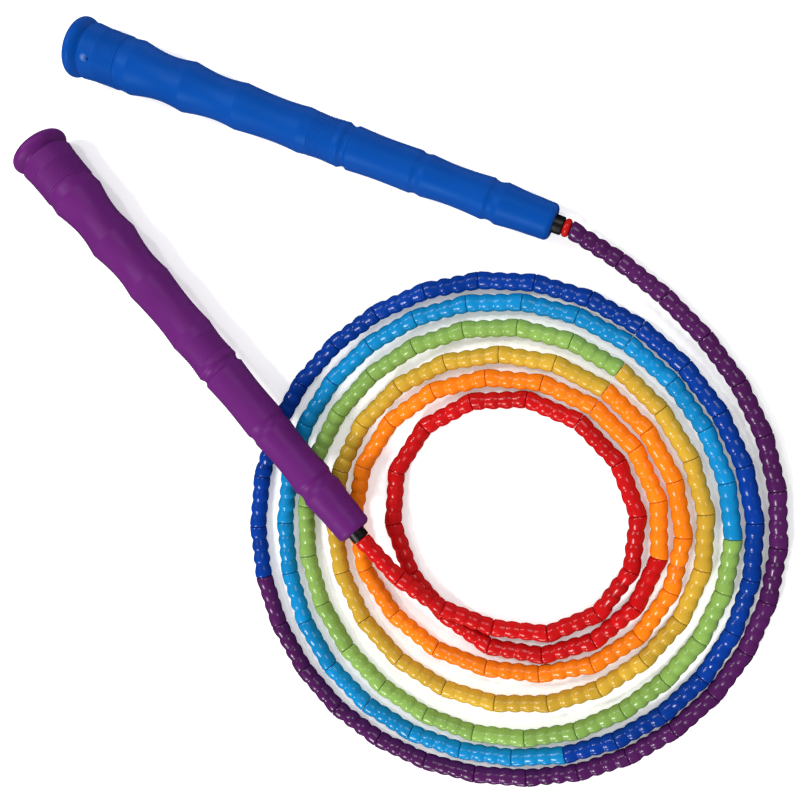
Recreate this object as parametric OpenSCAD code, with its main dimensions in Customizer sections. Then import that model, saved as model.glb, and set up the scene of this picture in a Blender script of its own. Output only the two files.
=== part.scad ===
// Beaded jump rope: two hollow long handles joined by one inner cord that carries
// 147 moulded beads in seven colours. It lies on the floor, wound in a loose flat coil.
// Origin: on the floor, under the middle of the two handles' box. +Z is up, millimetres.

/* [Beads] */
// Length of the beads of each colour, in order along the rope: each colour is its own moulding
bead_lens = [23.7, 24.1, 23.9, 23.3, 23.8, 23.9, 23.5]; // [22:0.1:24.2]
// Outer diameter of one bead
bead_od = 8.1; // [6:0.1:8.1]
// Bore of one bead
bead_bore = 4.6; // [4.2:0.1:5]
// Depth of the three waists round each bead
bead_waist = 0.5; // [0.2:0.1:0.7]
// Rounding of a bead's outer edges
bead_edge = 0.8; // [0.4:0.1:1]
// Number of beads of each colour
beads_per_colour = 21; // [21:1:21]

/* [Cord] */
// Diameter of the inner cord
cord_d = 3.4; // [2:0.1:3.6]

/* [Handle] */
// Length from the rim of the end cap to the tip face
handle_len = 238.5; // [238.5:0.5:238.5]
// Wall that closes the tip round the bush
tip_web = 10; // [6:1:12]
// Main bore diameter, behind the end cap's spigot
main_bore = 14; // [12:0.5:15]
// Front bore diameter, where the cord stop and bush flange turn
front_bore = 12; // [11.6:0.2:12.4]

/* [End cap] */
// Diameter of the end cap's rim
cap_od = 29; // [28:0.5:30]
// Diameter of the cap's spigot
spigot_od = 19; // [17:0.5:20]
// Length of the cap's spigot
spigot_len = 16; // [10:1:24]

/* [Swivel] */
// Diameter of the bush that turns in the tip
bush_od = 8.4; // [8:0.1:9]
// Diameter of the bush's inner flange
flange_od = 11.2; // [10.5:0.1:11.2]
// How far the bush stands out of the tip
bush_out = 4.2; // [3:0.1:5]
// Radial clearance of every turning fit
running_gap = 0.05; // [0.02:0.01:0.08]
// Thickness of the thrust washer
washer_t = 1; // [0.6:0.1:1.2]

/* [Hidden] */
$fn = 64;
slack = 0.1;        // axial play between parts that turn on each other

// Colours
PURPLE = [0.33, 0.16, 0.36];
BLUE = [0.08, 0.27, 0.62];
SKY = [0.13, 0.55, 0.78];
GREEN = [0.56, 0.71, 0.38];
YELLOW = [0.84, 0.67, 0.24];
ORANGE = [0.97, 0.54, 0.14];
RED = [0.84, 0.15, 0.16];
BLACK = [0.08, 0.08, 0.09];
GRIP_BLUE = [0.05, 0.34, 0.69];
GRIP_PURPLE = [0.45, 0.20, 0.50];
CORD_BLACK = [0.10, 0.10, 0.11];
STEEL = [0.70, 0.71, 0.73];
BRASS = [0.78, 0.62, 0.32];

// Where each handle lies: rim centre, heading, and height of the axis at the tip.
// The blue handle rests on its rim and its nose; the purple one on its rim and on the coil.
BLUE_LIE = [[-95, 109.7, cap_od / 2], -21.5, 9.2];
PURPLE_LIE = [[-120.5, 62.3, cap_od / 2], -48.7, 20];

function pitch_of(lie) = asin((lie[2] - lie[0][2]) / handle_len);
function heading_of(lie) =
  [cos(lie[1]) * cos(pitch_of(lie)), sin(lie[1]) * cos(pitch_of(lie)), sin(pitch_of(lie))];
// Point on a handle's axis, t millimetres from the rim
function on_axis(lie, t) = lie[0] + t * heading_of(lie);

// Stations along a handle, measured from the rim towards the tip
grip_start = 4.5;
washer_face = handle_len - tip_web;
flange_face = washer_face - slack - washer_t - slack;
flange_t = 2.5;
stop_len = 14;
stop_face = flange_face - flange_t - slack;
ring_t = 3.3;
ring_centre = handle_len + bush_out + slack + ring_t / 2;
// Where the beads start beyond each handle: the blue one has the spacer ring in between.
// The cord bends here, so each gap leaves room for the tilted end of the nearest bead.
blue_gap = 0.8;
purple_gap = 0.5;
blue_exit = ring_centre + ring_t / 2 + blue_gap;
purple_exit = handle_len + bush_out + purple_gap;
cord_tail = 3;      // cord end that stands out behind the cord stop

// ---------- the grip's outline ----------
// The grip's crests and waists in turn, as [distance from the rim, radius];
// hollow curves join them, level at each waist and running up to a crisp crest
LEVELS = [
  [5.2, 13.4], [18, 12.65], [23.5, 12.7], [24.8, 12.4], [30.2, 13], [46.2, 10.75], [57.7, 12],
  [74.5, 10.05], [84.8, 11], [104.5, 9.95], [117.4, 10.65], [128, 9.8], [136.9, 10.5], [139.9, 9.3],
  [141.8, 10.3], [157, 9.65], [172.4, 9.95], [175, 9.2], [177.8, 9.75], [191.5, 8.9], [207.4, 9.65],
  [210.2, 8.75], [213.9, 9.7], [229, 8.7], [236, 8.45]
];
RIB_BANDS = [[11.6, 24.1], [121.8, 134.3]];
rib_pitch = 1.25;
rib_height = 0.1;
tip_edge = 2.5;     // rounding of the tip face's edge

function level(t, i = 0) = t > LEVELS[i + 1][0] && i < len(LEVELS) - 2 ? level(t, i + 1)
  : let (a = LEVELS[i], b = LEVELS[i + 1], u = (t - a[0]) / (b[0] - a[0]))
    b[1] > a[1] ? a[1] + (b[1] - a[1]) * (1 - cos(90 * u)) : b[1] + (a[1] - b[1]) * (1 - sin(90 * u));
function rib(t) =
  len([for (b = RIB_BANDS) if (t > b[0] && t < b[1]) b]) > 0
    ? -rib_height * (1 + cos(360 * (t - LEVELS[0][0]) / rib_pitch)) : 0;
outline_step = rib_pitch / 2;
butt_r = LEVELS[0][1];
butt_edge = LEVELS[0][0] - grip_start;
tip_r = LEVELS[len(LEVELS) - 1][1];
function grip_outline() = concat(
  [[0, grip_start], [butt_r - butt_edge, grip_start]],
  [for (a = [60:-30:0]) [butt_r - butt_edge * (1 - cos(a)), LEVELS[0][0] - butt_edge * sin(a)]],
  [for (t = [LEVELS[0][0] + outline_step:outline_step:handle_len - tip_edge - 0.3]) [level(t) + rib(t), t]],
  [for (a = [0:15:90]) [tip_r - tip_edge * (1 - cos(a)), handle_len - tip_edge * (1 - sin(a))]],
  [[0, handle_len]]
);

// ---------- the rope's route ----------
// The coil: radius of each turn at eight directions, clockwise from 45 degrees before +X
COIL_CENTRE = [104, -120];
FIRST_DIRECTION = -45;
TURN_RADII = [
  [126.5, 119.5, 115, 116.5, 122.5, 122, 120, 118],
  [112, 110, 106.5, 106.5, 110.5, 108, 109, 108.5],
  [103.5, 100.5, 95.5, 97, 97.5, 97.5, 97.5, 97],
  [92, 89.5, 82.5, 80.5, 81.5, 83, 85.5, 84.5],
  [81.5, 79.5, 72.5, 64.5, 66.5, 72.5, 75.5, 74],
  [72.5, 70, 62.5, 55, 48, 53, 62, 65],
  [63, 60, 53, 44]
];
lie_z = bead_od / 2;    // height of the rope's middle where it lies on the floor
// The lead from the blue handle down to the coil, and the end that climbs over the
// innermost turns to the purple handle
LEAD = [[153.5, 6.5, 5.4], [173, -9, lie_z]];
TAIL = [[90, -161, 7.8], [74, -152.5, 11.9], [56.5, -140, 15], [47, -130, 17.6]];

// Catmull-Rom curve through the values or points of a list, t of the way from item i to i + 1
function item(list, i) = i < 0 ? 2 * list[0] - list[1]
  : i >= len(list) ? 2 * list[len(list) - 1] - list[len(list) - 2] : list[i];
function spline(list, i, t) =
  let (a = item(list, i - 1), b = item(list, i), c = item(list, i + 1), d = item(list, i + 2))
  (2 * b + (c - a) * t + (2 * a - 5 * b + 4 * c - d) * t * t + (3 * b - a - 3 * c + d) * t * t * t) / 2;

// A point of the coil every 15 degrees, with its radius run smoothly through the turns' radii
RADII = [for (turn = TURN_RADII) each turn];
function coil_point(i, t) = let (r = spline(RADII, i, t), a = FIRST_DIRECTION + 45 * (i + t))
  [COIL_CENTRE[0] + r * cos(a), COIL_CENTRE[1] - r * sin(a), lie_z];
COIL = [
  for (i = [0:len(RADII) - 2], third = [0:2]) coil_point(i, third / 3),
  coil_point(len(RADII) - 2, 1)
];
ROUTE = concat([on_axis(BLUE_LIE, blue_exit)], LEAD, COIL, TAIL, [on_axis(PURPLE_LIE, purple_exit)]);
samples = 6;
CURVE = [
  for (i = [0:len(ROUTE) - 2], j = [0:samples - 1]) spline(ROUTE, i, j / samples),
  ROUTE[len(ROUTE) - 1]
];

// On a bend, beads hinge on their inner edges, so each radian of turn takes up an extra
// length of about one edge radius. REACH is the length left for beads, summed along the curve.
edge_r = bead_od / 2 - 0.6;
function turn_at(i) = i == 0 || i == len(CURVE) - 1 ? 0
  : let (a = CURVE[i] - CURVE[i - 1], b = CURVE[i + 1] - CURVE[i])
    acos(min(1, a * b / (norm(a) * norm(b)))) * PI / 180;
function step_at(i) = i == len(CURVE) - 1 ? 0 : norm(CURVE[i + 1] - CURVE[i]);
REACH = [for (i = 0, s = 0; i < len(CURVE); s = s + step_at(i) - edge_r * turn_at(i), i = i + 1) s];
bead_count = len(bead_lens) * beads_per_colour;
function bead_len(k) = bead_lens[floor(k / beads_per_colour)];
BEAD_SUM = [for (k = 0, s = 0; k <= bead_count; s = s + (k < bead_count ? bead_len(k) : 0), k = k + 1) s];
bead_gap = (REACH[len(REACH) - 1] - BEAD_SUM[bead_count]) / bead_count;
TABLES = [for (axis = [0:2]) [for (i = [0:len(CURVE) - 1]) [REACH[i], CURVE[i][axis]]]];
// The points where neighbouring beads meet
JOINTS = [
  for (k = [0:bead_count]) let (reach = BEAD_SUM[k] + k * bead_gap)
    [for (axis = [0:2]) lookup(reach, TABLES[axis])]
];

// ---------- placing ----------
// Lays a part made along +Z, from the rim at z = 0, onto a handle's axis
module lay(lie) {
  translate(lie[0])
    rotate([0, 90 - pitch_of(lie), lie[1]])
      children();
}

// Stands a part made along +Z, centred on the origin, between two points
module between(a, b) {
  d = b - a;
  translate((a + b) / 2)
    rotate([0, acos(d[2] / norm(d)), atan2(d[1], d[0])])
      children();
}

// ---------- beads ----------
waist_half = 2.3;       // half the length of a waist
waist_r = (pow(waist_half, 2) + pow(bead_waist, 2)) / (2 * bead_waist);
module bead(length) {
  rotate_extrude($fn = 48)
    difference() {
      union() {
        translate([bead_bore / 2, -length / 2])
          square([bead_od / 2 - bead_edge - bead_bore / 2, length]);
        translate([bead_bore / 2, bead_edge - length / 2])
          square([(bead_od - bead_bore) / 2, length - 2 * bead_edge]);
        for (side = [-1, 1])
          translate([bead_od / 2 - bead_edge, side * (length / 2 - bead_edge)])
            circle(r = bead_edge);
      }
      for (k = [-1:1])
        translate([bead_od / 2 - bead_waist + waist_r, k * length / 4])
          circle(r = waist_r);
    }
}

module beads(group, tint) {
  color(tint)
    for (k = [group * beads_per_colour:(group + 1) * beads_per_colour - 1])
      between(JOINTS[k], JOINTS[k + 1])
        bead(bead_len(k));
}

module beads_purple() {
  beads(0, PURPLE);
}
module beads_blue() {
  beads(1, BLUE);
}
module beads_sky() {
  beads(2, SKY);
}
module beads_green() {
  beads(3, GREEN);
}
module beads_yellow() {
  beads(4, YELLOW);
}
module beads_orange() {
  beads(5, ORANGE);
}
module beads_red() {
  beads(6, RED);
}

// ---------- inner cord ----------
// One tube through every bead and into both handles, with a ring where beads meet
cord_sides = 8;
CORD_LINE = concat(
  [on_axis(BLUE_LIE, stop_face - stop_len - cord_tail)], JOINTS,
  [on_axis(PURPLE_LIE, stop_face - stop_len - cord_tail)]
);
function unit(v) = v / norm(v);
function along(i) = i == 0 ? unit(CORD_LINE[1] - CORD_LINE[0])
  : i == len(CORD_LINE) - 1 ? unit(CORD_LINE[i] - CORD_LINE[i - 1])
  : unit(unit(CORD_LINE[i + 1] - CORD_LINE[i]) + unit(CORD_LINE[i] - CORD_LINE[i - 1]));
function cord_ring(i) = let (d = along(i), side = unit(cross(d, [0, 0, 1])), up = cross(side, d))
  [for (k = [0:cord_sides - 1]) let (a = 360 * k / cord_sides)
    CORD_LINE[i] + cord_d / 2 * (cos(a) * side + sin(a) * up)];
module inner_cord() {
  rings = len(CORD_LINE);
  walls = [
    for (i = [0:rings - 2], k = [0:cord_sides - 1]) let (n = (k + 1) % cord_sides)
      [i * cord_sides + k, i * cord_sides + n, (i + 1) * cord_sides + n, (i + 1) * cord_sides + k]
  ];
  color(CORD_BLACK)
    polyhedron(
      points = [for (i = [0:rings - 1]) each cord_ring(i)],
      faces = concat(
        walls,
        [[for (k = [cord_sides - 1:-1:0]) k]],
        [[for (k = [0:cord_sides - 1]) (rings - 1) * cord_sides + k]]
      ),
      convexity = 20
    );
}

// ---------- spacer ring ----------
// A round-sided ring with a straight bore
ring_od = 8.4;
module spacer_ring() {
  color(RED)
    lay(BLUE_LIE)
      translate([0, 0, ring_centre])
        rotate_extrude()
          difference() {
            translate([(ring_od - ring_t) / 2, 0])
              circle(d = ring_t);
            translate([0, -ring_t])
              square([bead_bore / 2, 2 * ring_t]);
          }
}

// ---------- handle parts, made along +Z from the rim ----------
// The mouth takes the cap's spigot; behind it the bore steps down once, and the tip's web
// leaves a hole for the bush
spigot_end = grip_start + spigot_len;
bore_step = 134;        // where the main bore meets the front bore
module grip() {
  difference() {
    rotate_extrude()
      polygon(grip_outline());
    translate([0, 0, grip_start - 1])
      cylinder(d = spigot_od + 2 * running_gap, h = spigot_len + 3);
    translate([0, 0, spigot_end])
      cylinder(d = main_bore, h = bore_step + 1 - spigot_end);
    translate([0, 0, bore_step])
      cylinder(d = front_bore, h = washer_face - bore_step);
    translate([0, 0, washer_face - 1])
      cylinder(d = bush_od + 2 * running_gap, h = tip_web + 2);
  }
}

// A rounded rim with a flat end, a hollowed neck that meets the grip, and a hollow spigot
cap_end = 3;
rim_r = 3;          // radius of the rim's rounding
neck_start = 1.8;   // where the neck's hollow leaves the rim, and the radii it runs between
neck_top_r = 13.9;
neck_r = 12.9;
module end_cap() {
  difference() {
    union() {
      rotate_extrude()
        translate([cap_od / 2 - rim_r, 0])
          circle(r = rim_r);
      translate([0, 0, -cap_end])
        cylinder(d = cap_od - 2 * rim_r, h = cap_end + grip_start);
      rotate_extrude()
        polygon(concat(
          [[0, 0], [neck_top_r, 0]],
          [for (u = [0:0.2:1])
            [neck_top_r + (neck_r - neck_top_r) * sin(90 * u), neck_start + u * (grip_start - neck_start)]],
          [[0, grip_start]]
        ));
      translate([0, 0, grip_start - 0.5])
        cylinder(d = spigot_od, h = spigot_len + 0.5);
    }
    cylinder(d = main_bore, h = spigot_end + 1);
  }
}

// Flanged tube with a chamfered nose; the cord passes through it with room to spare
bush_end = handle_len + bush_out;
nose_chamfer = 0.5;
cord_room = 0.3;        // room all round the cord in the bush
module swivel_bush() {
  difference() {
    union() {
      translate([0, 0, flange_face - flange_t])
        cylinder(d = flange_od, h = flange_t);
      translate([0, 0, flange_face - 1])
        cylinder(d = bush_od, h = bush_end - nose_chamfer - flange_face + 1);
      translate([0, 0, bush_end - nose_chamfer])
        cylinder(d1 = bush_od, d2 = bush_od - 2 * nose_chamfer, h = nose_chamfer);
    }
    translate([0, 0, flange_face - flange_t - 1])
      cylinder(d = cord_d + 2 * cord_room, h = bush_end - flange_face + flange_t + 2);
  }
}

module thrust_washer() {
  translate([0, 0, flange_face + slack])
    difference() {
      cylinder(d = flange_od, h = washer_t);
      translate([0, 0, -1])
        cylinder(d = bush_od + 2 * running_gap, h = washer_t + 2);
    }
}

// Metal sleeve crimped on the cord, with three crimp grooves
stop_od = 8;
crimp_depth = 0.5;
crimp_r = 1.1;
module cord_stop() {
  translate([0, 0, stop_face - stop_len])
    difference() {
      cylinder(d = stop_od, h = stop_len);
      translate([0, 0, -1])
        cylinder(d = cord_d + 0.2, h = stop_len + 2);
      for (k = [1:3])
        translate([0, 0, stop_len * k / 4])
          rotate_extrude()
            translate([stop_od / 2 - crimp_depth + crimp_r, 0])
              circle(r = crimp_r);
    }
}

module blue_grip() {
  color(GRIP_BLUE)
    lay(BLUE_LIE)
      grip();
}
module blue_end_cap() {
  color(GRIP_BLUE)
    lay(BLUE_LIE)
      end_cap();
}
module blue_swivel_bush() {
  color(BLACK)
    lay(BLUE_LIE)
      swivel_bush();
}
module blue_thrust_washer() {
  color(STEEL)
    lay(BLUE_LIE)
      thrust_washer();
}
module blue_cord_stop() {
  color(BRASS)
    lay(BLUE_LIE)
      cord_stop();
}
module purple_grip() {
  color(GRIP_PURPLE)
    lay(PURPLE_LIE)
      grip();
}
module purple_end_cap() {
  color(GRIP_PURPLE)
    lay(PURPLE_LIE)
      end_cap();
}
module purple_swivel_bush() {
  color(BLACK)
    lay(PURPLE_LIE)
      swivel_bush();
}
module purple_thrust_washer() {
  color(STEEL)
    lay(PURPLE_LIE)
      thrust_washer();
}
module purple_cord_stop() {
  color(BRASS)
    lay(PURPLE_LIE)
      cord_stop();
}

inner_cord();
beads_purple();
beads_blue();
beads_sky();
beads_green();
beads_yellow();
beads_orange();
beads_red();
spacer_ring();
blue_grip();
blue_end_cap();
blue_swivel_bush();
blue_thrust_washer();
blue_cord_stop();
purple_grip();
purple_end_cap();
purple_swivel_bush();
purple_thrust_washer();
purple_cord_stop();
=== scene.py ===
import math
import random

import bpy
from mathutils import Matrix, Vector


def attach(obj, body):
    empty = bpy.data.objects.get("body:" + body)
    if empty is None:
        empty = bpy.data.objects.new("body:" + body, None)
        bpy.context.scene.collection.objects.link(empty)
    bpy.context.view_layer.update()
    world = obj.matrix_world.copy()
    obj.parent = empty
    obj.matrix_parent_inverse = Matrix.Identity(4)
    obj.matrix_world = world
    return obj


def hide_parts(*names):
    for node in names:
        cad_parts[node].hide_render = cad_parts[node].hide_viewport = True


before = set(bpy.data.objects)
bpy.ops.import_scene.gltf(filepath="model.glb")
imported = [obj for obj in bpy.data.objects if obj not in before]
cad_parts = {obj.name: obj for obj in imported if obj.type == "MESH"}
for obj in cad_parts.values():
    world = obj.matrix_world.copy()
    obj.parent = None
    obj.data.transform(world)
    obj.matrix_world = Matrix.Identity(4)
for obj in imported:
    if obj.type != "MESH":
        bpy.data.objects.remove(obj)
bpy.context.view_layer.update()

MM = 0.001


# ---------------------------------------------------------------- camera
LENS, SENSOR = 50.38, 36.0
CAMERA_PLACE = (0.188, 0.006, 0.50357)
CAMERA_TILT = (-0.1229, 0.2594, 0.0)

scene = bpy.context.scene
camera = bpy.data.objects.new("camera", bpy.data.cameras.new("camera"))
scene.collection.objects.link(camera)
scene.camera = camera
camera.data.sensor_width = SENSOR
camera.data.lens = LENS
camera.data.clip_start = 0.02
camera.data.clip_end = 20.0
tilt = Vector(CAMERA_TILT)
camera.matrix_world = (
    Matrix.Translation(Vector(CAMERA_PLACE))
    @ Matrix.Rotation(tilt.length, 4, tilt.normalized())
)
scene.view_settings.view_transform = "Standard"


# ---------------------------------------------------------------- sizes, in millimetres
# As in part.scad, but for the groove between cap and grip, which is deeper and 0.7 mm nearer to the tip,
# and the ribs, which stand proud
BEAD_LENS = [23.7, 24.1, 23.9, 23.3, 23.8, 23.9, 23.5]
BEAD_OD = 8.1
BEAD_BORE = 4.6
PER_COLOUR = 21
CORD_D = 3.4
HANDLE_LEN = 238.5
TIP_WEB = 10.0
CAP_OD = 29.0
SPIGOT_OD = 19.0
SPIGOT_LEN = 16.0
MAIN_BORE = 14.0
FRONT_BORE = 12.0
BORE_STEP = 134.0
BUSH_OD = 8.4
FLANGE_OD = 11.2
FLANGE_T = 2.5
BUSH_OUT = 4.2
RUNNING_GAP = 0.05
SLACK = 0.1
WASHER_T = 1.0
STOP_LEN = 14.0
STOP_OD = 8.0
CORD_TAIL = 3.0
RING_T = 3.3
RING_OD = 8.4
BLUE_GAP = 0.8
PURPLE_GAP = 0.5
GRIP_START = 5.2
RIM_R = 3.0
CAP_END = 3.0
NECK_START, NECK_TOP_R, NECK_R = 2.6, 13.4, 11.6
TIP_EDGE = 2.5
LEVELS = [
    (5.9, 13.4), (18, 12.65), (23.5, 12.7), (24.8, 12.4), (30.2, 13), (46.2, 10.75), (57.7, 12),
    (74.5, 10.05), (84.8, 11), (104.5, 9.95), (117.4, 10.65), (128, 9.8), (136.9, 10.5), (139.9, 9.3),
    (141.8, 10.3), (157, 9.65), (172.4, 9.95), (175, 9.2), (177.8, 9.75), (191.5, 8.9), (207.4, 9.65),
    (210.2, 8.75), (213.9, 9.7), (229, 8.7), (236, 8.45),
]
RIB_BANDS = [(12.9, 25.1), (121.8, 134.3)]
RIB_PITCH = 1.25
RIB_HEIGHT = 0.24
WASHER_FACE = HANDLE_LEN - TIP_WEB
FLANGE_FACE = WASHER_FACE - SLACK - WASHER_T - SLACK
STOP_FACE = FLANGE_FACE - FLANGE_T - SLACK
BUSH_END = HANDLE_LEN + BUSH_OUT
RING_CENTRE = BUSH_END + SLACK + RING_T / 2
BLUE_EXIT = RING_CENTRE + RING_T / 2 + BLUE_GAP
PURPLE_EXIT = BUSH_END + PURPLE_GAP
SPIGOT_END = GRIP_START + SPIGOT_LEN


class Lie:
    """Where a handle lies: its rim's centre, its heading in degrees and its axis's height at the tip."""

    def __init__(self, rim, heading, tip_z):
        self.rim = Vector(rim)
        rise = math.asin((tip_z - rim[2]) / HANDLE_LEN)
        turn = math.radians(heading)
        flat = math.cos(rise)
        self.axis = Vector((math.cos(turn) * flat, math.sin(turn) * flat, math.sin(rise)))
        self.matrix = (
            Matrix.Translation(self.rim * MM)
            @ Matrix.Rotation(turn, 4, "Z")
            @ Matrix.Rotation(math.pi / 2 - rise, 4, "Y")
        )

    def at(self, t):
        return self.rim + t * self.axis


LIES = {
    "blue": Lie((-95, 109.7, CAP_OD / 2), -21.5, 9.2),
    "purple": Lie((-120.5, 62.3, CAP_OD / 2), -48.7, 20),
}

# ---------------------------------------------------------------- the rope's route, as in part.scad
COIL_CENTRE = (104, -120)
FIRST_DIRECTION = -45
RADII = [
    126.5, 119.5, 115, 116.5, 122.5, 122, 120, 118,
    112, 110, 106.5, 106.5, 110.5, 108, 109, 108.5,
    103.5, 100.5, 95.5, 97, 97.5, 97.5, 97.5, 97,
    92, 89.5, 82.5, 80.5, 81.5, 83, 85.5, 84.5,
    81.5, 79.5, 72.5, 64.5, 66.5, 72.5, 75.5, 74,
    72.5, 70, 62.5, 55, 48, 53, 62, 65,
    63, 60, 53, 44,
]
LIE_Z = BEAD_OD / 2
LEAD = [(153.5, 6.5, 5.4), (173, -9, LIE_Z)]
TAIL = [(90, -161, 7.8), (74, -152.5, 11.9), (56.5, -140, 15), (47, -130, 17.6)]
SAMPLES = 6
MITRE_INSET = 0.6


def item(values, i):
    if i < 0:
        return 2 * values[0] - values[1]
    if i >= len(values):
        return 2 * values[-1] - values[-2]
    return values[i]


def spline(values, i, t):
    a, b, c, d = (item(values, i + k) for k in (-1, 0, 1, 2))
    return (
        2 * b + (c - a) * t + (2 * a - 5 * b + 4 * c - d) * (t * t) + (3 * b - a - 3 * c + d) * (t * t * t)
    ) / 2


def coil_point(i, t):
    r, turn = spline(RADII, i, t), math.radians(FIRST_DIRECTION + 45 * (i + t))
    return Vector((COIL_CENTRE[0] + r * math.cos(turn), COIL_CENTRE[1] - r * math.sin(turn), LIE_Z))


def bead_joints():
    """The points where neighbouring beads meet, from the blue handle on, and the beads' lengths.
    Beads touch on the inside of a bend, so the line there is longer than the beads on it."""
    coil = [coil_point(i, k / 3) for i in range(len(RADII) - 1) for k in range(3)]
    coil.append(coil_point(len(RADII) - 2, 1))
    route = [LIES["blue"].at(BLUE_EXIT), *map(Vector, LEAD), *coil, *map(Vector, TAIL)]
    route.append(LIES["purple"].at(PURPLE_EXIT))
    curve = [spline(route, i, j / SAMPLES) for i in range(len(route) - 1) for j in range(SAMPLES)]
    curve.append(route[-1])
    edge = BEAD_OD / 2 - MITRE_INSET
    reach = [0.0]
    for i in range(len(curve) - 1):
        turn = (curve[i] - curve[i - 1]).angle(curve[i + 1] - curve[i]) if i else 0.0
        reach.append(reach[-1] + (curve[i + 1] - curve[i]).length - edge * turn)
    lens = [length for length in BEAD_LENS for _ in range(PER_COLOUR)]
    gap = (reach[-1] - sum(lens)) / len(lens)
    joints, k, want = [], 0, 0.0
    for n in range(len(lens) + 1):
        while k < len(reach) - 2 and reach[k + 1] < want:
            k += 1
        u = (want - reach[k]) / (reach[k + 1] - reach[k])
        joints.append(curve[k].lerp(curve[k + 1], min(1.0, max(0.0, u))))
        if n < len(lens):
            want += lens[n] + gap
    return joints, lens


JOINTS, LENS = bead_joints()


# ---------------------------------------------------------------- mesh helpers
def new_object(name, verts, faces, sharp=35.0):
    mesh = bpy.data.meshes.new(name)
    mesh.from_pydata(verts, [], faces)
    mesh.validate()
    mesh.shade_smooth()
    mesh.set_sharp_from_angle(angle=math.radians(sharp))
    obj = bpy.data.objects.new(name, mesh)
    scene.collection.objects.link(obj)
    return obj


def lathe(name, lie, outline, closed, sides=96, dent=None):
    """Turns an outline of (t, r) points round a handle's axis, t being the distance from the rim.
    closed joins the last point to the first; otherwise both ends lie on the axis.
    dent(t, angle) is how far to move a point outwards, in millimetres."""
    verts, rings = [], []
    for t, r in outline:
        if r < 1e-6:
            rings.append([len(verts)])
            verts.append((0.0, 0.0, t * MM))
            continue
        ring = []
        for k in range(sides):
            turn = 2 * math.pi * k / sides
            out = r + (dent(t, turn) if dent else 0.0)
            ring.append(len(verts))
            verts.append((out * math.cos(turn) * MM, out * math.sin(turn) * MM, t * MM))
        rings.append(ring)
    faces = []
    pairs = list(zip(rings, rings[1:] + rings[:1])) if closed else list(zip(rings, rings[1:]))
    for a, b in pairs:
        for k in range(sides):
            n = (k + 1) % sides
            if len(a) == 1:
                faces.append((a[0], b[n], b[k]))
            elif len(b) == 1:
                faces.append((a[k], a[n], b[0]))
            else:
                faces.append((a[k], a[n], b[n], b[k]))
    obj = new_object(name, verts, faces)
    obj.matrix_world = lie.matrix
    return obj


def arc(t, r, radius, start, end, steps):
    """Points of an arc about (t, r): 0 degrees points away from the axis, 90 towards the tip."""
    return [
        (
            t + radius * math.sin(math.radians(start + (end - start) * k / steps)),
            r + radius * math.cos(math.radians(start + (end - start) * k / steps)),
        )
        for k in range(steps + 1)
    ]


# ---------------------------------------------------------------- materials
def material(name, build):
    mat = bpy.data.materials.new(name)
    mat.use_nodes = True
    tree = mat.node_tree
    tree.nodes.clear()
    out = tree.nodes.new("ShaderNodeOutputMaterial")
    shader = tree.nodes.new("ShaderNodeBsdfPrincipled")
    tree.links.new(shader.outputs[0], out.inputs[0])
    build(tree, shader)
    return mat


def node(tree, kind, **values):
    made = tree.nodes.new(kind)
    for key, value in values.items():
        if key in made.inputs:
            made.inputs[key].default_value = value
        else:
            setattr(made, key, value)
    return made


def linear(colour):
    """sRGB numbers from 0 to 255 as a linear RGBA colour."""
    return tuple(
        (c / 255 / 12.92) if c <= 10 else ((c / 255 + 0.055) / 1.055) ** 2.4 for c in colour
    ) + (1.0,)


def ramp(tree, source, stops):
    made = tree.nodes.new("ShaderNodeValToRGB")
    tree.links.new(source, made.inputs[0])
    while len(made.color_ramp.elements) < len(stops):
        made.color_ramp.elements.new(0.5)
    for element, (place, colour) in zip(made.color_ramp.elements, stops):
        element.position, element.color = place, colour
    return made


def grey(value):
    return (value, value, value, 1.0)


def shade(colour, factor):
    return tuple(min(1.0, c * factor) for c in colour[:3]) + (1.0,)


def bump_chain(tree, shader, *layers):
    """Adds bump layers of (height socket, strength, distance in metres), the coarsest first."""
    last = None
    for socket, strength, distance in layers:
        made = node(tree, "ShaderNodeBump", Strength=strength, Distance=distance)
        tree.links.new(socket, made.inputs["Height"])
        if last:
            tree.links.new(last.outputs[0], made.inputs["Normal"])
        last = made
    tree.links.new(last.outputs[0], shader.inputs["Normal"])


def noise(tree, coords, scale, detail=2.0, rough=0.5):
    made = node(tree, "ShaderNodeTexNoise", Scale=scale, Detail=detail, Roughness=rough)
    tree.links.new(coords, made.inputs["Vector"])
    return made.outputs["Fac"]


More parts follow.
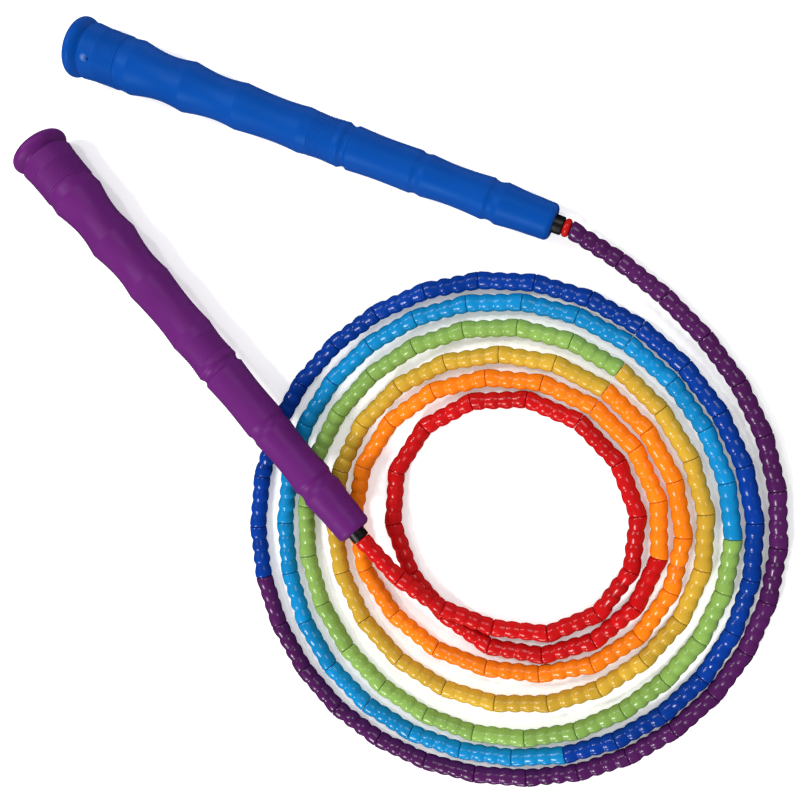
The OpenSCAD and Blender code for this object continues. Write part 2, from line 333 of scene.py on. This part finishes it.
def bead_material(name, colour):
    """Half-gloss moulded plastic: each bead a slightly different shade, with shallow sink marks."""

    def build(tree, shader):
        coords = node(tree, "ShaderNodeTexCoord").outputs["Object"]
        island = node(tree, "ShaderNodeNewGeometry").outputs["Random Per Island"]
        base = ramp(tree, island, [(0.0, shade(colour, 0.88)), (0.5, colour), (1.0, shade(colour, 1.1))])
        cloud = noise(tree, coords, 160.0, 3.0)
        mixed = node(tree, "ShaderNodeMix", data_type="RGBA", blend_type="MULTIPLY")
        mixed.inputs["Factor"].default_value = 1.0
        tint = ramp(tree, cloud, [(0.3, grey(0.88)), (0.7, grey(1.0))])
        tree.links.new(base.outputs[0], mixed.inputs["A"])
        tree.links.new(tint.outputs[0], mixed.inputs["B"])
        tree.links.new(mixed.outputs["Result"], shader.inputs["Base Color"])
        rough = ramp(tree, noise(tree, coords, 420.0, 3.0), [(0.35, grey(0.18)), (0.7, grey(0.27))])
        tree.links.new(rough.outputs[0], shader.inputs["Roughness"])
        shader.inputs["Specular IOR Level"].default_value = 0.22
        shader.inputs["Subsurface Weight"].default_value = 0.08
        shader.inputs["Subsurface Radius"].default_value = (0.0016, 0.001, 0.0008)
        shader.inputs["Subsurface Scale"].default_value = 1.0
        bump_chain(
            tree, shader,
            (noise(tree, coords, 330.0, 1.0), 0.06, 0.0004),
            (noise(tree, coords, 1300.0, 2.0), 0.04, 0.0001),
        )

    return material(name, build)


# how strongly the grips' pale patches of painted sheen show
SHEEN_PATCH_STRENGTH = 0.16
# pale colour of the painted highlight on the blue grip's moulding scar
SCAR_HIGHLIGHT_TINT = (0.35, 0.55, 0.85, 1.0)


def grip_material(name, colour, pale, sheen_tint, scar=None):
    """Satin moulded plastic: broad soft sheen, faint flow clouds, fine grain and a few pale patches of
    painted sheen.
    scar is the place of a painted highlight on the moulding scar, in the grip's own coordinates."""

    def build(tree, shader):
        coords = node(tree, "ShaderNodeTexCoord").outputs["Object"]
        flow = noise(tree, coords, 28.0, 4.0, 0.55)
        cloud = ramp(tree, flow, [(0.3, shade(colour, 0.9)), (0.7, shade(colour, 1.07))])
        # painted sheen: paler patches at random places, mixed towards the pale colour
        sheen_patch = ramp(tree, noise(tree, coords, 75.0, 5.0, 0.7), [(0.66, grey(0.0)), (0.8, grey(1.0))])
        part = node(tree, "ShaderNodeMath", operation="MULTIPLY")
        part.inputs[1].default_value = SHEEN_PATCH_STRENGTH
        tree.links.new(sheen_patch.outputs[0], part.inputs[0])
        mixed = node(tree, "ShaderNodeMix", data_type="RGBA")
        tree.links.new(part.outputs[0], mixed.inputs["Factor"])
        tree.links.new(cloud.outputs[0], mixed.inputs["A"])
        mixed.inputs["B"].default_value = pale
        tinted = mixed
        if scar:
            away = node(tree, "ShaderNodeVectorMath", operation="DISTANCE")
            away.inputs[1].default_value = scar
            tree.links.new(coords, away.inputs[0])
            tinted = node(tree, "ShaderNodeMix", data_type="RGBA")
            # painted highlight on the scar: full within 0.5 mm of its middle, gone at 2.1 mm
            span = {"From Min": 0.0005, "From Max": 0.0021, "To Min": 0.22, "To Max": 0.0}
            mark = node(tree, "ShaderNodeMapRange", **span)
            tree.links.new(away.outputs["Value"], mark.inputs["Value"])
            tree.links.new(mark.outputs[0], tinted.inputs["Factor"])
            tree.links.new(mixed.outputs["Result"], tinted.inputs["A"])
            tinted.inputs["B"].default_value = SCAR_HIGHLIGHT_TINT
        tree.links.new(tinted.outputs["Result"], shader.inputs["Base Color"])
        rough = ramp(tree, noise(tree, coords, 90.0, 4.0, 0.6), [(0.3, grey(0.4)), (0.75, grey(0.5))])
        tree.links.new(rough.outputs[0], shader.inputs["Roughness"])
        shader.inputs["Specular IOR Level"].default_value = 0.15
        shader.inputs["Specular Tint"].default_value = sheen_tint
        bump_chain(
            tree, shader,
            (noise(tree, coords, 180.0, 2.0), 0.12, 0.0003),
            (noise(tree, coords, 3200.0, 2.0), 0.12, 0.00006),
        )

    return material(name, build)


def rubbery_material(name, colour):
    """Black moulded bush: dull, with fine turning marks round it."""

    def build(tree, shader):
        coords = node(tree, "ShaderNodeTexCoord").outputs["Object"]
        cloud = noise(tree, coords, 420.0, 3.0)
        base = ramp(tree, cloud, [(0.3, shade(colour, 0.7)), (0.75, shade(colour, 1.5))])
        tree.links.new(base.outputs[0], shader.inputs["Base Color"])
        rough = ramp(tree, noise(tree, coords, 700.0, 3.0), [(0.3, grey(0.34)), (0.7, grey(0.5))])
        tree.links.new(rough.outputs[0], shader.inputs["Roughness"])
        shader.inputs["Specular IOR Level"].default_value = 0.3
        waves = node(tree, "ShaderNodeTexWave", bands_direction="Z", Scale=900.0, Distortion=1.5)
        tree.links.new(coords, waves.inputs["Vector"])
        bump_chain(tree, shader, (waves.outputs["Fac"], 0.15, 0.00005))

    return material(name, build)


def braid_material(name, colour):
    """Dark braided cord: crossing strands, with painted shade darkening the valleys."""

    def build(tree, shader):
        coords = node(tree, "ShaderNodeTexCoord").outputs["Object"]
        cells = node(tree, "ShaderNodeTexVoronoi", Scale=1500.0, Randomness=0.35)
        tree.links.new(coords, cells.inputs["Vector"])
        # painted shade: darker towards the cells' edges, where the bump sinks the valleys between strands
        base = ramp(tree, cells.outputs["Distance"], [(0.1, colour), (0.8, shade(colour, 0.6))])
        tree.links.new(base.outputs[0], shader.inputs["Base Color"])
        shader.inputs["Roughness"].default_value = 0.8
        shader.inputs["Specular IOR Level"].default_value = 0.2
        bump_chain(tree, shader, (cells.outputs["Distance"], 0.5, -0.0003))

    return material(name, build)


def metal_material(name, colour, rough_low, rough_high):
    """Bright turned metal with fine marks and slight tarnish."""

    def build(tree, shader):
        coords = node(tree, "ShaderNodeTexCoord").outputs["Object"]
        base = ramp(tree, noise(tree, coords, 500.0, 4.0), [(0.3, shade(colour, 0.8)), (0.7, colour)])
        tree.links.new(base.outputs[0], shader.inputs["Base Color"])
        shader.inputs["Metallic"].default_value = 1.0
        marks = noise(tree, coords, 1800.0, 3.0)
        rough = ramp(tree, marks, [(0.3, grey(rough_low)), (0.7, grey(rough_high))])
        tree.links.new(rough.outputs[0], shader.inputs["Roughness"])
        bump_chain(tree, shader, (noise(tree, coords, 3000.0, 2.0), 0.15, 0.00005))

    return material(name, build)


BEAD_COLOURS = {
    "purple": linear((71, 24, 77)),
    "blue": linear((4, 49, 133)),
    "sky": linear((10, 120, 176)),
    "green": linear((123, 157, 76)),
    "yellow": linear((188, 149, 46)),
    "orange": linear((232, 117, 16)),
    "red": linear((178, 14, 17)),
}


# ---------------------------------------------------------------- the cord
CORD_EASE = 1.6
CORD_END = STOP_FACE - STOP_LEN - CORD_TAIL
CORD_EXIT = 237.0


def cord_path():
    """The cord's centreline in metres: straight through each bead, its bends eased where beads meet."""
    line = [LIES["blue"].at(CORD_END), *JOINTS, LIES["purple"].at(CORD_END)]
    path = [line[0]]
    for a, b, c in zip(line, line[1:], line[2:]):
        start, end = b + (a - b).normalized() * CORD_EASE, b + (c - b).normalized() * CORD_EASE
        path += [start, (start + 2 * b + end) / 4, end]
    path.append(line[-1])
    return [p * MM for p in path]


cord_line = cord_path()
cord_data = bpy.data.curves.new("inner_cord_braid", "CURVE")
cord_data.dimensions = "3D"
strand = cord_data.splines.new("POLY")
strand.points.add(len(cord_line) - 1)
for point, place in zip(strand.points, cord_line):
    point.co = (*place, 1.0)
cord_data.bevel_depth = CORD_D / 2 * MM
cord_data.bevel_resolution = 3
cord_data.use_fill_caps = True
cord = bpy.data.objects.new("inner_cord_braid", cord_data)
scene.collection.objects.link(cord)
# near-black cord: its own colour, and also painted shade for the gaps between beads
cord_data.materials.append(braid_material("cord_braid", linear((26, 26, 30))))
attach(cord, "rope")
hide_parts("inner_cord")


# ---------------------------------------------------------------- beads
BEAD_SIDES = 28
BEAD_EDGE = 0.55
BORE_EDGE = 0.25
LOBE_SAG = (0.5, 0.85)
LOBE_SKEW = 0.28
END_SAG = 0.12
LOBE_STEPS = 10
BEAD_SWELL = 0.04
JOINT_GAP = 0.07
MITRE_REACH = 4.0
BEAD_SHARP = 40.0
END_REACH = (0.6, 0.35)
GATE_SIDES = 12
GATE_PROFILE = [(0.28, -0.01), (0.42, 0.06), (0.55, 0.05), (0.68, -0.14)]


def bead_outline(length, waist, skew):
    """Closed half-section of a bead as (distance from its middle, radius): four rounded lobes and a bore.
    skew leans every lobe towards one end."""
    half, bore, top = length / 2, BEAD_BORE / 2, BEAD_OD / 2
    lobe = length / 8
    outside = []
    for k in range(4):
        centre = (2 * k - 3) * lobe
        for i in range(LOBE_STEPS + 1 if k == 3 else LOBE_STEPS):
            u = 2 * i / LOBE_STEPS - 1
            sag = END_SAG if (k == 0 and u < 0) or (k == 3 and u > 0) else waist
            lean = abs(u + skew * (1 - u * u))
            fall = 0.45 * math.sin(math.pi / 2 * min(1.0, lean)) ** 2.2 + 0.55 * lean ** 2.6
            outside.append((centre + u * lobe, top - sag * fall))
    outside = [(s, r) for s, r in outside if abs(s) < half - BEAD_EDGE]
    shoulder = top - END_SAG
    right = [
        (half - BEAD_EDGE, shoulder), (half - BEAD_EDGE * 0.3, shoulder - BEAD_EDGE * 0.28),
        (half, shoulder - BEAD_EDGE), (half, bore + BORE_EDGE), (half - BORE_EDGE, bore),
    ]
    left = [(-s, r) for s, r in reversed(right)]
    return left + outside + right


def wobble(seed, s, turn):
    """Small unevenness of a moulded bead's outside, in millimetres."""
    return 0.03 * math.sin(2 * turn + seed) * math.cos(0.45 * s + 2 * seed) + 0.015 * math.sin(
        3 * turn - 1.3 * seed + 0.8 * s
    )


def end_lean(offset, axis, plane, s, half):
    """How far to move a point along the bead so that its end lies in the plane that two beads share."""
    weight = max(0.0, 1 - (half - s) / MITRE_REACH)
    return -weight * offset.dot(plane) / axis.dot(plane)


def add_bead(verts, faces, k, bead_rng):
    """Bead k between its two joints, with the small gate mark that moulding leaves."""
    first_bead, last_bead = k == 0, k == len(LENS) - 1
    a = LIES["blue"].at(BLUE_EXIT - END_REACH[0]) if first_bead else JOINTS[k]
    b = LIES["purple"].at(PURPLE_EXIT - END_REACH[1]) if last_bead else JOINTS[k + 1]
    axis, middle = (b - a).normalized(), (a + b) / 2
    start_plane, end_plane = LIES["blue"].axis, -LIES["purple"].axis
    if not first_bead:
        start_plane = (axis + (a - JOINTS[k - 1]).normalized()).normalized()
    if not last_bead:
        end_plane = (axis + (JOINTS[k + 2] - b).normalized()).normalized()
    length = (b - a).length - 2 * JOINT_GAP
    half = length / 2
    side = axis.cross(Vector((0, 0, 1))).normalized()
    up = side.cross(axis)
    roll, seed = bead_rng.uniform(0, 2 * math.pi), bead_rng.uniform(0, 20)
    outline = bead_outline(length, bead_rng.uniform(*LOBE_SAG), bead_rng.uniform(-LOBE_SKEW, LOBE_SKEW))
    first = len(verts)
    for s, r in outline:
        for i in range(BEAD_SIDES):
            turn = 2 * math.pi * i / BEAD_SIDES + roll
            outside = r > BEAD_BORE / 2 + 2 * BORE_EDGE
            out = r + (BEAD_SWELL + wobble(seed, s, turn) if outside else 0.0)
            offset = out * (math.cos(turn) * side + math.sin(turn) * up)
            lean = end_lean(offset, axis, end_plane, s, half)
            lean += end_lean(offset, axis, start_plane, -s, half)
            verts.append((middle + (s + lean) * axis + offset) * MM)
    rings = len(outline)
    for i in range(rings):
        n = (i + 1) % rings
        for j in range(BEAD_SIDES):
            m = (j + 1) % BEAD_SIDES
            p, q = first + i * BEAD_SIDES, first + n * BEAD_SIDES
            faces.append((p + j, q + j, q + m, p + m))
    add_gate_mark(verts, faces, middle, axis, side, up, length, bead_rng)


def add_gate_mark(verts, faces, middle, axis, side, up, length, bead_rng):
    """A low ring-shaped scar on the crown of an end lobe."""
    centre = middle + bead_rng.choice((-1, 1)) * (length * 3 / 8 + bead_rng.uniform(-0.3, 0.3)) * axis
    where = bead_rng.uniform(0, 2 * math.pi)
    out_dir = math.cos(where) * side + math.sin(where) * up
    around = axis.cross(out_dir)
    crown = BEAD_OD / 2 - 0.05
    count = GATE_SIDES
    base = len(verts)
    verts.append((centre + (crown - 0.02) * out_dir) * MM)
    for radius, height in GATE_PROFILE:
        for i in range(count):
            turn = 2 * math.pi * i / count
            x, y = radius * math.cos(turn), radius * math.sin(turn)
            lift = math.sqrt(crown ** 2 - y * y) + height
            verts.append((centre + x * axis + y * around + lift * out_dir) * MM)
    for i in range(count):
        faces.append((base, base + 1 + i, base + 1 + (i + 1) % count))
    for ring in range(len(GATE_PROFILE) - 1):
        p = base + 1 + ring * count
        for i in range(count):
            n = (i + 1) % count
            faces.append((p + i, p + count + i, p + count + n, p + n))


for group, colour in enumerate(BEAD_COLOURS):
    verts, faces = [], []
    bead_rng = random.Random(100 + group)
    for k in range(group * PER_COLOUR, (group + 1) * PER_COLOUR):
        add_bead(verts, faces, k, bead_rng)
    beads = new_object(f"beads_{colour}_moulded", verts, faces, BEAD_SHARP)
    beads.data.materials.append(bead_material(f"bead_{colour}", BEAD_COLOURS[colour]))
    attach(beads, "rope")
    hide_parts(f"beads_{colour}")


# ---------------------------------------------------------------- spacer ring
def ring_outline():
    """A round ring whose straight bore cuts its inner side away."""
    half = RING_T / 2
    middle = RING_OD / 2 - half
    low = math.degrees(math.acos((BEAD_BORE / 2 - middle) / half)) - 2
    return arc(RING_CENTRE, middle, half, -low, low, 28)


spacer = lathe("spacer_ring_moulded", LIES["blue"], ring_outline(), True, 48)
spacer.data.materials.append(bead_material("ring_red", linear((168, 18, 14))))
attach(spacer, "ring")
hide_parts("spacer_ring")

tuple(LIES["blue"].at(CORD_EXIT) * MM)


# ---------------------------------------------------------------- handles
def level(t):
    """The grip's radius at t: a quarter wave between neighbouring crests and waists."""
    for (t0, r0), (t1, r1) in zip(LEVELS, LEVELS[1:]):
        if t <= t1:
            turn = math.pi / 2 * (t - t0) / (t1 - t0)
            if r1 > r0:
                return r0 + (r1 - r0) * (1 - math.cos(turn))
            return r1 + (r0 - r1) * (1 - math.sin(turn))
    return LEVELS[-1][1]


def rib(t):
    """How far the fine ribs raise the grip's surface at t."""
    for low, high in RIB_BANDS:
        if low < t < high:
            edge = min(1.0, (t - low) / 0.5, (high - t) / 0.5)
            wave = (1 - math.cos(2 * math.pi * (t - low) / RIB_PITCH)) / 2
            return RIB_HEIGHT * edge * (wave ** 2 - 0.3)
    return 0.0


def grip_outline():
    """Outside from the butt to the tip, then the stepped bore back again."""
    edge = LEVELS[0][0] - GRIP_START
    outside = arc(LEVELS[0][0], LEVELS[0][1] - edge, edge, -90, 0, 6)
    t = LEVELS[0][0]
    while t < HANDLE_LEN - TIP_EDGE - 0.3:
        ribbed = any(low - 0.3 < t < high + 0.3 for low, high in RIB_BANDS)
        t += RIB_PITCH / 8 if ribbed else 0.55
        outside.append((t, level(t) + rib(t)))
    outside += arc(HANDLE_LEN - TIP_EDGE, LEVELS[-1][1] - TIP_EDGE, TIP_EDGE, 6, 90, 8)
    hole = BUSH_OD / 2 + RUNNING_GAP
    inside = [
        (HANDLE_LEN, hole + 0.3), (HANDLE_LEN - 0.3, hole), (WASHER_FACE, hole),
        (WASHER_FACE, FRONT_BORE / 2), (BORE_STEP, FRONT_BORE / 2), (BORE_STEP, MAIN_BORE / 2),
        (SPIGOT_END + 0.5, MAIN_BORE / 2), (SPIGOT_END + 0.5, SPIGOT_OD / 2 + RUNNING_GAP),
        (GRIP_START + 0.4, SPIGOT_OD / 2 + RUNNING_GAP), (GRIP_START, SPIGOT_OD / 2 + RUNNING_GAP + 0.4),
    ]
    return outside + inside


def cap_outline():
    """Domed end, rounded rim, neck and hollow spigot."""
    outline = [(-CAP_END, 0.0), (-CAP_END, 4.0), (-CAP_END + 0.02, CAP_OD / 2 - RIM_R - 1.5)]
    outline += arc(0.0, CAP_OD / 2 - RIM_R, RIM_R, -80, 34, 22)
    for k in range(1, 9):
        t = NECK_START + (GRIP_START - NECK_START) * k / 8
        outline.append((t - 0.05, NECK_TOP_R + (NECK_R - NECK_TOP_R) * math.sin(math.pi / 2 * k / 8)))
    outline += [
        (GRIP_START - 0.05, SPIGOT_OD / 2 + 0.3), (GRIP_START, SPIGOT_OD / 2 + 0.02),
        (SPIGOT_END - 0.6, SPIGOT_OD / 2), (SPIGOT_END, SPIGOT_OD / 2 - 0.6), (SPIGOT_END, MAIN_BORE / 2),
        (0.4, MAIN_BORE / 2), (0.0, MAIN_BORE / 2 - 0.4), (0.0, 0.0),
    ]
    return outline


def bush_outline():
    """Black sleeve with a flange inside the grip."""
    bore, outer, flange = CORD_D / 2 + 0.3, BUSH_OD / 2, FLANGE_OD / 2
    back = FLANGE_FACE - FLANGE_T
    return [
        (back, bore + 0.2), (back, flange - 0.3), (back + 0.3, flange), (FLANGE_FACE, flange),
        (FLANGE_FACE, outer), (BUSH_END - 0.5, outer), (BUSH_END - 0.12, outer - 0.18),
        (BUSH_END, outer - 0.5), (BUSH_END, bore + 0.2), (BUSH_END - 0.2, bore), (back + 0.2, bore),
    ]


def washer_outline():
    """Flat steel ring between the bush's flange and the tip's shoulder."""
    low, high = FLANGE_FACE + SLACK, FLANGE_FACE + SLACK + WASHER_T
    inner, outer = BUSH_OD / 2 + RUNNING_GAP, FLANGE_OD / 2
    return [
        (low, inner + 0.1), (low, outer - 0.15), (low + 0.15, outer), (high - 0.15, outer),
        (high, outer - 0.15), (high, inner + 0.1), (high - 0.1, inner), (low + 0.1, inner),
    ]


CRIMP_DEPTH = 0.5


def stop_outline():
    """Brass tube crimped on the cord by three grooves."""
    low, high = STOP_FACE - STOP_LEN, STOP_FACE
    inner, outer = CORD_D / 2 + 0.1, STOP_OD / 2
    outline = [(low, inner), (low, outer - 0.3), (low + 0.3, outer)]
    for k in (1, 2, 3):
        middle = low + STOP_LEN * k / 4
        outline += [
            (middle + u / 4, outer - CRIMP_DEPTH * (1 + math.cos(math.pi * u / 4)) / 2)
            for u in range(-4, 5)
        ]
    outline += [(high - 0.3, outer), (high, outer - 0.3), (high, inner)]
    return outline


SCAR_T, SCAR_R, SCAR_TURN = 9.6, 13.2, math.radians(198)
# middle of the painted highlight on the scar, in the grip's own coordinates
SCAR_HIGHLIGHT_PLACE = (0.0133 * math.cos(SCAR_TURN), 0.0133 * math.sin(SCAR_TURN), (SCAR_T - 0.6) * MM)


def gate_scar(t, turn):
    """The blunt scar that moulding leaves near one grip's butt: a low lump with a pit on its far side."""
    along, around = t - SCAR_T, SCAR_R * (turn - SCAR_TURN)
    lump = 0.5 * math.exp(-(((along + 0.5) / 1.1) ** 2 + (around / 1.2) ** 2) ** 1.5)
    pit = -1.6 * math.exp(-((math.hypot(along - 0.9, around - 0.2) / 0.85) ** 4))
    return lump + pit


# per grip: its colour, the pale colour of its painted sheen patches, and its specular tint
GRIP_COLOURS = {
    "blue": (linear((3, 61, 140)), linear((24, 84, 158)), (0.2, 0.55, 1.0, 1.0)),
    "purple": (linear((86, 24, 95)), linear((108, 56, 118)), (0.9, 0.6, 1.0, 1.0)),
}
SIDES, SMALL_SIDES = {"grip": 128, "end_cap": 112}, 56
black = rubbery_material("bush_black", linear((10, 10, 13)))
steel = metal_material("washer_steel", linear((190, 192, 196)), 0.22, 0.36)
brass = metal_material("stop_brass", linear((206, 166, 92)), 0.25, 0.42)

for hand, lie in LIES.items():
    scarred = hand == "blue"
    moulded = grip_material(f"grip_{hand}", *GRIP_COLOURS[hand], SCAR_HIGHLIGHT_PLACE if scarred else None)
    for part, outline, closed, mat, body, finish in (
        ("grip", grip_outline(), True, moulded, "handle", f"grip_{hand}"),
        ("end_cap", cap_outline(), False, moulded, "cap", f"cap_{hand}"),
        ("swivel_bush", bush_outline(), True, black, None, "bush"),
        ("thrust_washer", washer_outline(), True, steel, "washer", "washer"),
        ("cord_stop", stop_outline(), True, brass, None, "stop"),
    ):
        dent = gate_scar if scarred and part == "grip" else None
        sides = SIDES.get(part, SMALL_SIDES)
        piece = lathe(f"{hand}_{part}_turned", lie, outline, closed, sides, dent)
        piece.data.materials.append(mat)
        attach(piece, f"{hand}_{body}" if body else "rope")
        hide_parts(f"{hand}_{part}")


# ---------------------------------------------------------------- floor and lights
def floor_material(tree, shader):
    coords = node(tree, "ShaderNodeTexCoord").outputs["Object"]
    base = ramp(tree, noise(tree, coords, 14.0, 4.0), [(0.3, grey(0.86)), (0.7, grey(0.89))])
    tree.links.new(base.outputs[0], shader.inputs["Base Color"])
    shader.inputs["Roughness"].default_value = 0.9
    shader.inputs["Specular IOR Level"].default_value = 0.1
    shader.inputs["Emission Color"].default_value = grey(1.0)
    shader.inputs["Emission Strength"].default_value = 0.25


FAR = 18
floor_corners = [(-FAR, -FAR, 0), (FAR, -FAR, 0), (FAR, FAR, 0), (-FAR, FAR, 0)]
floor = new_object("floor", floor_corners, [(0, 1, 2, 3)])
floor.data.materials.append(material("floor_pale", floor_material))
floor.visible_glossy = False


def area_light(name, place, target, size, power, colour=(1.0, 1.0, 1.0)):
    data = bpy.data.lights.new(name, "AREA")
    data.shape, data.size, data.energy, data.color = "DISK", size, power, colour
    lamp = bpy.data.objects.new(name, data)
    lamp.matrix_world = Matrix.Translation(place) @ (Vector(place) - Vector(target)).to_track_quat(
        "Z", "Y"
    ).to_matrix().to_4x4()
    scene.collection.objects.link(lamp)


MIDDLE = (0.05, -0.1, 0.0)
area_light("window", (-0.55, -1.25, 1.15), MIDDLE, 0.46, 25.0, (1.0, 0.99, 0.97))
area_light("lamp_a", (-0.8, 0.42, 1.05), MIDDLE, 0.13, 6.5)
area_light("lamp_b", (-0.42, 0.7, 1.05), MIDDLE, 0.13, 3.5)
area_light("low_window", (0.05, -1.0, 0.16), (0.1, -0.1, 0.0), 0.14, 1.1)
area_light("fill", (0.9, 0.9, 1.5), (0.0, 0.0, 0.0), 0.8, 12.0, (0.97, 0.98, 1.0))

world = bpy.data.worlds.new("studio")
scene.world = world
world.use_nodes = True
background = world.node_tree.nodes["Background"]
background.inputs["Color"].default_value = grey(1.0)
background.inputs["Strength"].default_value = 0.55
world.cycles_visibility.glossy = False
